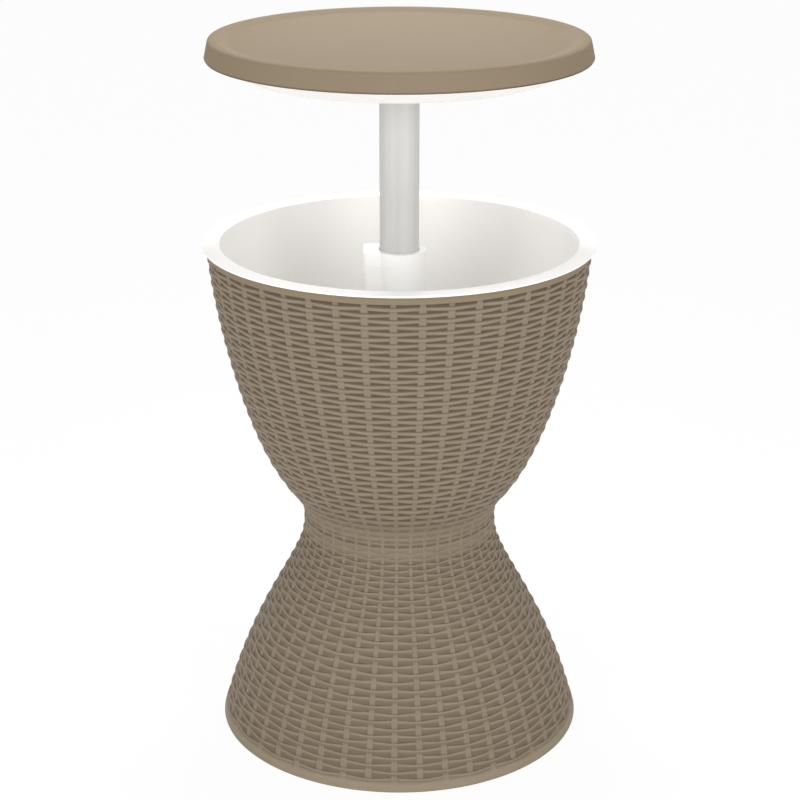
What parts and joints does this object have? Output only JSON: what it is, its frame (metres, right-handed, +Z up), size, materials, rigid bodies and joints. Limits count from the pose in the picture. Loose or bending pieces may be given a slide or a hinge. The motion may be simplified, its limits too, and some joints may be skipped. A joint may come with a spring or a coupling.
{
  "type": "cooler table with lid",
  "caption": "Round hourglass cooler side table in imitation rattan; its tabletop is the bucket's lid and slides up and down on a mast.",
  "frame": {"origin": "centre of the foot, on the floor", "axes": "+Z up along the mast; -X towards the release button; -Y towards the picture's camera"},
  "size_m": [0.4189, 0.419, 0.7692],
  "materials": {
    "tan_woven_resin": "matte",
    "tan_smooth_resin": "satin",
    "white_resin": "satin",
    "insulation_foam": "matte",
    "guide_resin": "satin",
    "grey_mast": "satin",
    "collar_resin": "satin",
    "cover_resin": "gloss",
    "button_resin": "satin",
    "seal_rubber": "matte",
    "drain_resin": "satin",
    "bright_steel": "satin"
  },
  "bodies": {
    "table_body": {"base_shell": "tan_woven_resin", "bowl_shell": "tan_woven_resin", "bucket_liner": "white_resin", "bucket_insulation": "insulation_foam", "mast_sleeve": "guide_resin", "sleeve_seal": "seal_rubber", "sleeve_nut": "guide_resin", "waist_screws": "bright_steel", "drain_spout": "drain_resin", "drain_spout_seal": "seal_rubber", "drain_nut": "drain_resin", "guide_bush": "guide_resin", "locking_collar": "collar_resin", "latch_cover": "cover_resin", "collar_screws": "bright_steel", "button_spring": "bright_steel"},
    "tabletop": {"tabletop_shell": "tan_smooth_resin", "underside_panel": "white_resin", "panel_screws": "bright_steel", "lid_insulation": "insulation_foam", "mast_tube": "grey_mast", "mast_head": "guide_resin", "mast_head_screws": "bright_steel", "mast_pin": "bright_steel", "mast_guide": "guide_resin"},
    "release": {"release_button": "button_resin", "brake_ring": "button_resin", "brake_pad": "seal_rubber"},
    "plug": {"drain_plug": "drain_resin", "plug_seal": "seal_rubber"}
  },
  "joints": [
    {"name": "tabletop_lift", "type": "slide", "parent": "table_body", "child": "tabletop", "axis": [0, 0, 1], "range_m": [-0.1941, 0]},
    {"name": "button_press", "type": "slide", "parent": "table_body", "child": "release", "axis": [1, 0, 0], "range_m": [0, 0.002], "stiffness_N_per_m": 1500, "springref_m": -0.001, "deforming": ["button_spring"]},
    {"name": "plug_pull", "type": "slide", "parent": "table_body", "child": "plug", "axis": [0, 0, 1], "range_m": [0, 0.02]}
  ]
}
